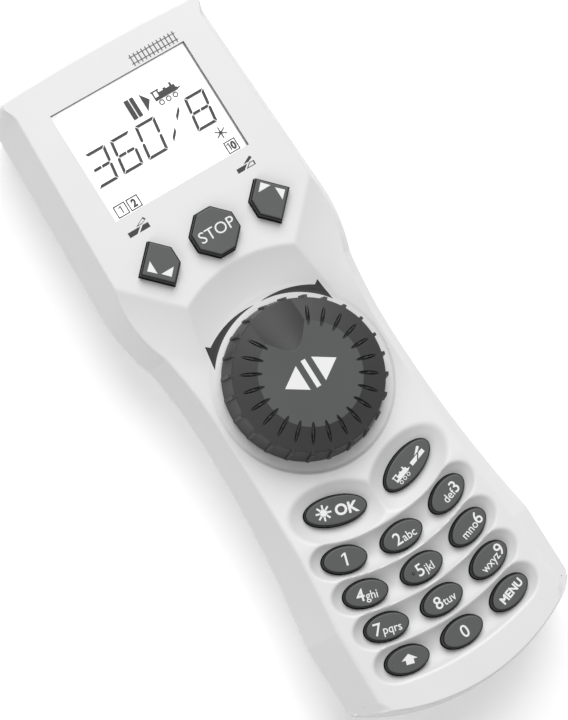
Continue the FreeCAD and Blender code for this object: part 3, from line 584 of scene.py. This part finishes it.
def ellipse(x, y, long_half, short_half, tilt, count=72):
    """Points round a tilted ellipse."""
    spin = math.radians(tilt)
    points = []
    for step in range(count):
        angle = 2 * math.pi * step / count
        along, across = long_half * math.cos(angle), short_half * math.sin(angle)
        points.append((x + along * math.cos(spin) - across * math.sin(spin),
                       y + along * math.sin(spin) + across * math.cos(spin)))
    return points


def clipped(outline, reach, across, up):
    """The part of a convex outline where x * across + y * up is at most reach."""
    result = []
    for start, end in zip(outline, outline[1:] + outline[:1]):
        a = reach - across * start[0] - up * start[1]
        b = reach - across * end[0] - up * end[1]
        if a >= 0:
            result.append(start)
        if (a >= 0) != (b >= 0):
            share = a / (a - b)
            result.append((start[0] + (end[0] - start[0]) * share, start[1] + (end[1] - start[1]) * share))
    return result


KEY_GAP = 0.28
STOP_Y = 38.82
STOP_HALF = 6.45
STOP_DIAGONAL = 6.15
ARROW_ACROSS = 16.64
ARROW_WIDE = 9.42
ARROW_CUT = 4.36
OK_LONG = 8.55
OK_SHORT = 3.9
SHAFT_HOLE = 3.9
WINDOW_OPENING = (19.7, 15.2)
WINDOW_POCKET = (20.7, 16.2)
CUT_LOW = 18
CUT_HIGH = 32


def stop_outline(grow):
    """The stop key's octagon, grown all round."""
    half = STOP_HALF + grow
    reach = (STOP_DIAGONAL + grow) * math.sqrt(2)
    points = bar(-half, -half, half, half)
    for across, up in ((1, 1), (-1, 1), (-1, -1), (1, -1)):
        points = clipped(points, reach, across, up)
    return [(x, y + STOP_Y) for x, y in points]


def arrow_outline(side, grow):
    """A direction key's diamond, grown all round, with its corner beside the stop key cut off."""
    reach = (ARROW_WIDE + 2 * grow) / math.sqrt(2)
    points = clipped([(reach, 0), (0, reach), (-reach, 0), (0, -reach)], ARROW_CUT + grow, -side, 0)
    return [(x + side * ARROW_ACROSS, y + STOP_Y) for x, y in points]


def window_outline(half_sizes):
    """A rectangle about the display window's middle."""
    x, y = middle("display_window")[:2]
    wide, long = half_sizes
    return bar(x - wide, y - long, x + wide, y + long)


def through_holes():
    """Prisms for the key holes, the window's clear opening and the shaft's hole."""
    outlines = []
    for row_y, sag in ROWS:
        radius = (ROW_SIDE ** 2 + sag ** 2) / (2 * sag)
        tilt = math.degrees(math.asin(ROW_SIDE / radius))
        for column in (-1, 0, 1):
            x, y = column * ROW_SIDE, row_y if column else row_y - sag
            outlines.append(ellipse(x, y, DIGIT_LONG + KEY_GAP, DIGIT_SHORT + KEY_GAP, column * tilt))
    for side in (-1, 1):
        x, tilt = side * OK_ACROSS, side * OK_TILT
        outlines.append(ellipse(x, OK_Y, OK_LONG + KEY_GAP, OK_SHORT + KEY_GAP, tilt))
        outlines.append(arrow_outline(side, KEY_GAP))
    outlines.append(stop_outline(KEY_GAP))
    outlines.append(ellipse(0, DIAL_Y, SHAFT_HOLE, SHAFT_HOLE, 0, 32))
    outlines.append(window_outline(WINDOW_OPENING))
    return [prism(outline, CUT_LOW, CUT_HIGH) for outline in outlines]


def window_pocket():
    """The prism of the pocket that the window pane lies in."""
    return [prism(window_outline(WINDOW_POCKET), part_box("display_window")[0][2] / MM, CUT_HIGH)]


def cut_away(target, prisms):
    """Cuts separate prisms out of a closed mesh in one step."""
    points, faces = [], []
    for corners, sides in prisms:
        faces += [[i + len(points) for i in side] for side in sides]
        points += [(x * MM, y * MM, z * MM) for x, y, z in corners]
    mesh = bpy.data.meshes.new("cutter")
    mesh.from_pydata(points, [], faces)
    tool = bpy.data.objects.new("cutter", mesh)
    bpy.context.scene.collection.objects.link(tool)
    cut = target.modifiers.new("cut", "BOOLEAN")
    cut.object = tool
    cut.operation = "DIFFERENCE"
    cut.solver = "MANIFOLD"
    bpy.context.view_layer.update()
    target_now = target.evaluated_get(bpy.context.evaluated_depsgraph_get())
    result = bpy.data.meshes.new_from_object(target_now)
    target.modifiers.clear()
    target.data = result
    bpy.data.objects.remove(tool)


def mark_hollows(mesh):
    """Stores how deep each point of the face lies in a key's hollow, from 0 to 1."""
    points = np.empty(len(mesh.vertices) * 3)
    mesh.vertices.foreach_get("co", points)
    x, y = points.reshape(-1, 3).T[:2] / MM
    depth = open_face(x, y) - face_height(x, y)
    share = np.clip(depth / HOLLOW_EDGE, 0, 1) * (y < DIAL_Y)
    layer = mesh.attributes.new("hollow", "FLOAT", "POINT")
    layer.data.foreach_set("value", share)


def front_shell():
    """The front shell with its openings cut, standing for the CAD shell."""
    shell = bpy.data.objects.new("front_shell_skin", shell_mesh())
    bpy.context.scene.collection.objects.link(shell)
    cut_away(shell, through_holes())
    cut_away(shell, window_pocket())
    mesh = shell.data
    mesh.name = "front_shell_skin"
    mesh.polygons.foreach_set("use_smooth", [True] * len(mesh.polygons))
    mesh.set_sharp_from_angle(angle=math.radians(SHARP))
    mesh.materials.clear()
    mesh.materials.append(case_white)
    # The hollow attribute places the painted shade in the key hollows.
    mark_hollows(mesh)
    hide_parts("front_shell")
    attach(shell, "case")
    return shell


shell = front_shell()


# ---- outlines for the printed marks ----
def between(outer, inner):
    """The quads that fill the band between two outlines with as many points each."""
    count = len(outer)
    return [[outer[i], outer[(i + 1) % count], inner[(i + 1) % count], inner[i]] for i in range(count)]


def hollow(outline, share):
    """The rim that is left of an outline when its smaller copy is taken out of the middle."""
    x = sum(point[0] for point in outline) / len(outline)
    y = sum(point[1] for point in outline) / len(outline)
    return between(outline, [(x + (px - x) * share, y + (py - y) * share) for px, py in outline])


def boxed(x0, y0, x1, y1, line):
    """A rectangle drawn with a line of that width."""
    return between(bar(x0, y0, x1, y1), bar(x0 + line, y0 + line, x1 - line, y1 - line))


def moved(shapes, x, y, scale=1.0):
    """Shapes scaled about the origin, then moved."""
    return [[(px * scale + x, py * scale + y) for px, py in shape] for shape in shapes]


def rays(x, y, inner, outer, width, count):
    """Short bars that point away from (x, y)."""
    shapes = []
    for step in range(count):
        angle = 2 * math.pi * step / count + math.pi / 2
        reach = (math.cos(angle), math.sin(angle))
        side = (-reach[1] * width / 2, reach[0] * width / 2)
        near = (x + reach[0] * inner, y + reach[1] * inner)
        far = (x + reach[0] * outer, y + reach[1] * outer)
        shapes.append([(near[0] - side[0], near[1] - side[1]), (far[0] - side[0], far[1] - side[1]),
                       (far[0] + side[0], far[1] + side[1]), (near[0] + side[0], near[1] + side[1])])
    return shapes


def locomotive():
    """A plain tank engine seen from the side, 7.6 long and 4.3 high from its lower left corner."""
    shapes = [bar(0.0, 3.9, 2.4, 4.3), bar(0.3, 2.5, 0.7, 3.9), bar(1.7, 2.5, 2.1, 3.9)]
    shapes += [bar(2.1, 2.5, 6.6, 3.4), bar(3.4, 3.4, 4.2, 3.8), bar(5.4, 3.4, 6.0, 4.3)]
    shapes += [bar(0.3, 1.6, 6.9, 2.5), bar(6.9, 1.8, 7.6, 2.2)]
    for x in (1.5, 3.5, 5.5):
        shapes += between(circle(x, 0.75, 0.75, 16), circle(x, 0.75, 0.45, 16))
    return shapes


def turnout(*solid):
    """A track's turnout, 6.2 long and 3.2 high about its middle; a route that isn't solid is outlined."""
    routes = {"straight": [(-0.2, -1.5), (3.1, -1.5), (3.1, -0.1), (1.5, -0.1)],
              "branch": [(-0.3, 0.2), (1.5, 0.2), (3.1, 0.9), (2.6, 1.7)]}
    shapes = [[(-3.1, -1.5), (-0.9, -1.5), (0.8, -0.1), (-3.1, -0.1)]]
    for route, outline in routes.items():
        shapes += [outline] if route in solid else hollow(outline, 0.66)
    return shapes


def arrowhead(reach, base, half, turn):
    """A triangle whose tip is reach from the origin, turned by a number of quarter turns."""
    corners = [(reach, 0), (base, half), (base, -half)]
    for _ in range(turn):
        corners = [(-y, x) for x, y in corners]
    return corners


CELL = (6.1, 9.7)
SEGMENT_WIDTH = 0.82
SEGMENT_GAP = 0.12
SLANT = 0.145
SEGMENTS = {"0": "abcdef", "3": "abcdg", "6": "acdefg", "8": "abcdefg", "/": "jk"}


def over(shape):
    """A shape turned upside down within the character's cell."""
    return [(x, CELL[1] - y) for x, y in shape]


def across(shape):
    """A shape turned left to right within the character's cell."""
    return [(CELL[0] - x, y) for x, y in shape]


def segment(name):
    """One segment of a character, in a cell from its lower left corner."""
    wide, thick, gap, half = CELL[0], SEGMENT_WIDTH, SEGMENT_GAP, CELL[1] / 2
    level = [(gap, 0), (wide - gap, 0), (wide - gap - thick, thick), (gap + thick, thick)]
    post = [(0, gap), (thick, gap + thick), (thick, half - gap - thick / 2),
            (thick / 2, half - gap), (0, half - gap - thick / 2)]
    dash = [(thick / 2 + gap, half), (thick + gap, half - thick / 2), (wide / 2 - gap, half - thick / 2),
            (wide / 2 - gap, half + thick / 2), (thick + gap, half + thick / 2)]
    stroke = [(0.55, 0.9), (0.65, 2.2), (2.35, half - 0.45), (2.25, half - 1.8)]
    outlines = {"a": [over(level)], "b": [across(over(post))], "c": [across(post)], "d": [level],
                "e": [post], "f": [over(post)], "g": [dash, across(dash)], "k": [stroke],
                "j": [across(over(stroke))]}
    return outlines[name]


def segment_text(text, x, y, pitch):
    """Slanted segment characters, as on a liquid-crystal display."""
    shapes = []
    for place, character in enumerate(text):
        for name in SEGMENTS[character]:
            for outline in segment(name):
                shapes.append([(px + SLANT * py + x + place * pitch, py + y) for px, py in outline])
    return shapes


# ---- key legends ----
ROW_TILT = 17
DIGIT = 3.4
LETTERS = 2.3
LETTER_WIDTH = 0.95
LETTER_GAP = {-1: 0.1, 0: 0.1, 1: 0.15}
LEGEND_SHIFT = {-1: -0.1, 0: 0.35, 1: 0.55}
MIDDLE_COLUMN = 5
LEGENDS = {"key_1": ("1", ""), "key_2": ("2", "abc"), "key_3": ("3", "def"), "key_4": ("4", "ghi"),
           "key_5": ("5", "jkl"), "key_6": ("6", "mno"), "key_7": ("7", "pqrs"), "key_8": ("8", "tuv"),
           "key_9": ("9", "wxyz"), "key_0": ("0", "")}


def on_key(node, shapes, texts, turn=0.0):
    """White marks printed on a key, about the key's middle."""
    artwork("legend_" + node, node + "_body", node, shapes, texts, print_white, middle(node)[:2], turn)


def figure_one(height, x, y):
    """The figure 1: its stem, and the flag that falls away from the stem's top."""
    stem, flag, top = 0.16 * height, 0.24 * height, y + height
    stroke = [(x, top - 0.14 * height), (x, top)]
    stroke += [(x - flag, top - 0.16 * height), (x - flag, top - 0.29 * height)]
    return [bar(x, y, x + stem, top), stroke]


def number_key(node, digit, letters):
    """A key's digit and its small letters, which stand before the digit on the right side."""
    x = middle(node)[0]
    side = (x > MIDDLE_COLUMN) - (x < -MIDDLE_COLUMN)
    base = -DIGIT / 2
    if digit == "1":
        on_key(node, figure_one(DIGIT, LEGEND_SHIFT[side], base), [], side * ROW_TILT)
        return
    before, after = ("RIGHT", "LEFT") if side > 0 else ("LEFT", "RIGHT")
    texts = [lettering(digit, DIGIT, 0, base, align=after if letters else "CENTER")]
    if letters:
        texts.append(lettering(letters, LETTERS, LETTER_GAP[side], base, narrow=LETTER_WIDTH, align=before))
    reach = [point[0] for points, _ in texts for point in points]
    shift = LEGEND_SHIFT[side] - (min(reach) + max(reach)) / 2
    texts = [([(px + shift, py) for px, py in points], faces) for points, faces in texts]
    on_key(node, [], texts, side * ROW_TILT)


HOUSE = [(-1.1, -1.3), (1.1, -1.3), (1.1, -0.1), (2.2, -0.1), (0, 1.4), (-2.2, -0.1), (-1.1, -0.1)]
HOUSE_X = 0.3
SUN_X = -3.5
ARROW = (4.1, 2.1, 1.9)
ARROW_PLACES = {"left_key": ((2, 0.8, 0), (3, 1.4, -0.35)), "right_key": ((0, -0.4, 0), (1, -0.9, 0.85))}


def function_keys():
    """The words and signs on the keys that aren't numbers."""
    on_key("key_menu", [], [lettering("MENU", 2.1, 0.3, -1.05, 0.05)], ROW_TILT)
    on_key("key_shift", moved([HOUSE], HOUSE_X, 0), [], -ROW_TILT)
    sun = [circle(SUN_X, 0, 1.05)] + rays(SUN_X, 0, 0.9, 2.15, 0.5, 8)
    on_key("key_ok", sun, [lettering("OK", 2.9, 2.65, -1.45, 0.045, 1.05)], -OK_TILT)
    signs = moved(locomotive(), -5.8, -2.2, 0.72) + moved(turnout("straight", "branch"), 3.1, 0, 0.82)
    on_key("key_loco", signs, [], OK_TILT)
    on_key("stop_key", [], [lettering("STOP", 3.2, 0.25, -1.4, 0.0, 1.02)])
    for key, places in ARROW_PLACES.items():
        heads = [moved([arrowhead(*ARROW, turn)], x, y)[0] for turn, x, y in places]
        on_key(key, heads, [])


for key, (digit, letters) in LEGENDS.items():
    number_key(key, digit, letters)
function_keys()


def finger_dot(node, x, y, radius, rise):
    """The small raised dot that a finger finds the middle key by."""
    dome = bmesh.new()
    bmesh.ops.create_uvsphere(dome, u_segments=24, v_segments=12, radius=radius * MM)
    bmesh.ops.scale(dome, vec=(1, 1, rise / radius), verts=dome.verts[:])
    centre = middle(node)
    spot = Vector(((centre[0] + x) * MM, (centre[1] + y) * MM, RAY_FROM))
    height = surface(node).ray_cast(spot, Vector((0, 0, -1)))[0].z
    bmesh.ops.translate(dome, vec=(spot.x, spot.y, height), verts=dome.verts[:])
    mesh = bpy.data.meshes.new("finger_dot")
    dome.to_mesh(mesh)
    dome.free()
    mesh.polygons.foreach_set("use_smooth", [True] * len(mesh.polygons))
    mesh.materials.append(key_grey)
    obj = bpy.data.objects.new("finger_dot", mesh)
    bpy.context.scene.collection.objects.link(obj)
    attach(obj, node + "_body")


finger_dot("key_5", -3.1, 0.0, 0.42, 0.3)


# ---- display, dial and case marks ----
DISPLAY_SHIFT = (0.6, 0.3)
BOXES = (("1", -19.7), ("2", -15.8), ("10", 14.8))
BOX = 3.5
BOX_Y = -16.0
BOX_LINE = 0.34
BOX_FIGURE = 2.2
FIGURE_Y = BOX_Y + 0.7
BORDER = 1.3
WHOLE = 60


def display_signs():
    """The pause bars, the running arrow, the locomotive, the speed and the light sign on the display."""
    bars = [bar(-2.2, 4.4, -0.85, 10.1), bar(-0.55, 4.4, 0.65, 10.1)]
    running = [[(2.35, 9.9), (2.35, 4.6), (4.35, 7.25)]]
    light = [circle(15.9, -9.8, 0.5, 12)] + rays(15.9, -9.8, 0.4, 1.7, 0.34, 6)
    digits = segment_text("360/8", -20.0, -6.7, 7.7)
    return bars + running + moved(locomotive(), 5.2, 4.2, 1.05) + digits + light


def display_boxes():
    """The numbered boxes along the display's lower edge, as shapes and texts."""
    shapes, texts = [], []
    for text, left in BOXES:
        shapes += boxed(left, BOX_Y, left + BOX, BOX_Y + BOX, BOX_LINE)
        centre, second = left + BOX / 2, len(text) - 1
        if text.startswith("1"):
            shapes += figure_one(BOX_FIGURE, centre - 0.75 * second, FIGURE_Y)
        if text[-1] != "1":
            texts.append(lettering(text[-1], BOX_FIGURE, centre + 0.5 * second, FIGURE_Y, 0.07, 0.9))
    return shapes, texts


def display_marks():
    """What the liquid-crystal display shows under the window pane, and a glowing white border over the
    pocket's ledge: painted light that hides the ledge's shade.
    """
    x, y = middle("display_window")[:2]
    low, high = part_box("display_window")
    wide, long, under = (high[0] - low[0]) / 2 / MM, (high[1] - low[1]) / 2 / MM, (low[2] - high[2]) / MM
    boxes, texts = display_boxes()
    shown = display_signs() + boxes
    place = (x + DISPLAY_SHIFT[0], y + DISPLAY_SHIFT[1])
    artwork("display_segments", "case", "display_window", shown, texts, segment_ink, place,
            lift=under + 0.05, step=WHOLE)
    # Painted light: a glowing white band laid over the pane's ledge, where there is shade.
    border = boxed(-wide, -long, wide, long, BORDER)
    artwork("window_border", "case", "display_window", border, [], lcd_white, (x, y),
            lift=under + 0.03, step=WHOLE)


TRACK = (5.4, 19.7)
SLEEPER = 0.3
SLEEPER_START = 5.8
SLEEPER_PITCH = 1.2
SLEEPERS = 12
TURNOUTS = {"left": ("straight", 1.0, (-16.7, 50.2)), "right": ("branch", 0.88, (16.75, 50.2))}


def track():
    """A short length of track seen from above: two rails and the sleepers between and beside them."""
    shapes = [bar(TRACK[0], 17.3, TRACK[1], 17.55), bar(TRACK[0], 19.15, TRACK[1], 19.4)]
    for step in range(SLEEPERS):
        left = SLEEPER_START + step * SLEEPER_PITCH
        for low, high in ((16.7, 17.3), (17.55, 19.15), (19.4, 20.0)):
            shapes.append(bar(left, low, left + SLEEPER, high))
    return shapes


def case_marks():
    """Grey prints on the head: a length of track over the window, and a turnout over each side key."""
    artwork("track_mark", "case", "front_shell", track(), [], print_grey, middle("display_window")[:2])
    for side, (route, scale, place) in TURNOUTS.items():
        shapes = moved(turnout(route), 0, 0, scale)
        artwork("turnout_mark_" + side, "case", "front_shell", shapes, [], print_dark, place)


def round_dial(side, angle, radius):
    """The point at an angle from straight up, round the dial's middle, to the left or to the right."""
    return (side * radius * math.sin(math.radians(angle)), radius * math.cos(math.radians(angle)))


def scoop_arrow(side, start):
    """A crescent that widens to an arrowhead, printed on the scoop round the dial."""
    inner, widest, barb = 23.35, 25.6, 27.1
    shoulder, tip, steps, thinnest = 40.0, 53.0, 16, 0.05
    spot = partial(round_dial, side)
    angles = [start + (shoulder - start) * i / steps for i in range(steps + 1)]
    outer = [inner + thinnest + (widest - inner) * i / steps for i in range(steps + 1)]
    shapes = [[spot(angles[i], inner), spot(angles[i + 1], inner), spot(angles[i + 1], outer[i + 1]),
               spot(angles[i], outer[i])] for i in range(steps)]
    point = spot(shoulder + 0.8, barb)
    shapes.append([spot(shoulder, inner), spot(shoulder, widest), point])
    edge = [spot(shoulder + (tip - shoulder) * i / 6, inner) for i in range(7)]
    return shapes + [[point, edge[i], edge[i + 1]] for i in range(6)]


display_marks()
case_marks()
for name, shapes in (("left", scoop_arrow(-1, 1.5)), ("right", scoop_arrow(1, 4.3))):
    artwork("scoop_arrow_" + name, "case", "front_shell", shapes, [], print_dark, (0, DIAL_Y),
            lift=0.05, step=0.5)
dial_sign = [bar(-0.65, -4, 0.65, 4), arrowhead(8, 2.4, 3.6, 0), arrowhead(8, 2.4, 3.6, 2)]
artwork("dial_mark", "dial", "dial_cap", dial_sign, [], print_white, (0, DIAL_Y))

FIN_PITCH = 15
DIMPLE = (70, 110)


def painted_fin_shade():
    """Painted shade along each of the dial's grip fins, a black strip for the shade in its groove; the fins
    stand all round but in the finger dimple.
    """
    spine, half = (12.5, 13.6, 15.2, 17.0, 18.6), (0.0, 0.4, 0.45, 0.28, 0.0)
    shapes = []
    for degrees in range(0, 360, FIN_PITCH):
        if DIMPLE[0] < degrees < DIMPLE[1]:
            continue
        angle = math.radians(degrees)
        reach, side = (math.cos(angle), math.sin(angle)), (-math.sin(angle), math.cos(angle))
        for way in (-1, 1):
            crest = [(r * reach[0], r * reach[1]) for r in spine]
            foot = [(c[0] + way * w * side[0], c[1] + way * w * side[1]) for c, w in zip(crest, half)]
            shapes += [[crest[0], foot[1], crest[1]], [crest[1], foot[1], foot[2], crest[2]],
                       [crest[2], foot[2], foot[3], crest[3]], [crest[3], foot[3], crest[4]]]
    return shapes


# Painted shade: black strips over the fins stand for the shade in their grooves.
artwork("dial_fin_shade", "dial", "dial_knob", painted_fin_shade(), [], black_plastic, (0, DIAL_Y), lift=0.06)

# Painted shade: a dark ring stands for the shade on the walls of the window's pocket.
SHADE_RING_OUTER = (20.69, 16.19)
SHADE_RING_INNER = (20.62, 16.12)
SHADE_RING_TOP = HEAD - 0.35


def window_pocket_shade():
    """A thin dark ring that stands round the window's pocket, over the pane: painted shade on the pocket's
    walls.
    """
    bottom = top_of("display_window") + 0.02
    outline = window_outline(SHADE_RING_OUTER) + window_outline(SHADE_RING_INNER)
    points = [(px * MM, py * MM, z * MM) for z in (bottom, SHADE_RING_TOP) for px, py in outline]
    faces = []
    for i in range(4):
        j = (i + 1) % 4
        faces += [(i, j, j + 8, i + 8), (j + 4, i + 4, i + 12, j + 12), (i + 8, j + 8, j + 12, i + 12),
                  (j, i, i + 4, j + 4)]
    mesh = bpy.data.meshes.new("window_pocket_shade")
    mesh.from_pydata(points, [], faces)
    mesh.materials.append(print_dark)
    obj = bpy.data.objects.new("window_pocket_shade", mesh)
    bpy.context.scene.collection.objects.link(obj)
    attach(obj, "case")


window_pocket_shade()


# ---- floor, lights and camera ----
VIEW_FROM = Vector((-0.149787, -0.023154, 0.607712))
LOOK_AT = Vector((-0.00063, 0.00134, 0.02))
ROLL = math.radians(48.8)
LENS = 115.48
SENSOR = 36
FLOOR_GLOW = 0.22
SKY = 0.29
LIGHTS = {"key_light": ((0.90, 1.86, 2.25), 2.6, 89), "fill_light": ((-2.25, -0.75, 1.65), 1.8, 18)}


def add_floor():
    """A plain pale floor that the case lies on."""
    floor = bmesh.new()
    bmesh.ops.create_grid(floor, x_segments=8, y_segments=8, size=3.0)
    mesh = bpy.data.meshes.new("floor")
    floor.to_mesh(mesh)
    floor.free()
    obj = bpy.data.objects.new("floor", mesh)
    white, shader = material("floor_white", (0.93, 0.93, 0.93), 0.9, 0.1)
    shader.inputs["Emission Color"].default_value = (1, 1, 1, 1)
    shader.inputs["Emission Strength"].default_value = FLOOR_GLOW
    mesh.materials.append(white)
    bpy.context.scene.collection.objects.link(obj)


def add_light(name, place, size, power):
    """A square softbox aimed at the object."""
    lamp = bpy.data.lights.new(name, "AREA")
    lamp.size = size
    lamp.energy = power
    obj = bpy.data.objects.new(name, lamp)
    obj.location = place
    obj.rotation_euler = (-Vector(place)).to_track_quat("-Z", "Y").to_euler()
    bpy.context.scene.collection.objects.link(obj)


def add_camera():
    """The camera over the case's left side, rolled so that the case leans to the left in the picture."""
    data = bpy.data.cameras.new("camera")
    data.lens = LENS
    data.sensor_width = SENSOR
    obj = bpy.data.objects.new("camera", data)
    aim = (LOOK_AT - VIEW_FROM).to_track_quat("-Z", "Y").to_matrix()
    turn = aim @ Matrix.Rotation(ROLL, 3, "Z")
    obj.matrix_world = Matrix.Translation(VIEW_FROM) @ turn.to_4x4()
    bpy.context.scene.collection.objects.link(obj)
    bpy.context.scene.camera = obj


def add_sky():
    """Even white light from all round."""
    world = bpy.data.worlds.new("studio")
    world.use_nodes = True
    background = world.node_tree.nodes["Background"]
    background.inputs["Color"].default_value = (1, 1, 1, 1)
    background.inputs["Strength"].default_value = SKY
    bpy.context.scene.world = world


add_floor()
for name, (place, size, power) in LIGHTS.items():
    add_light(name, place, size, power)
add_camera()
add_sky()
bpy.context.scene.view_settings.view_transform = "Standard"
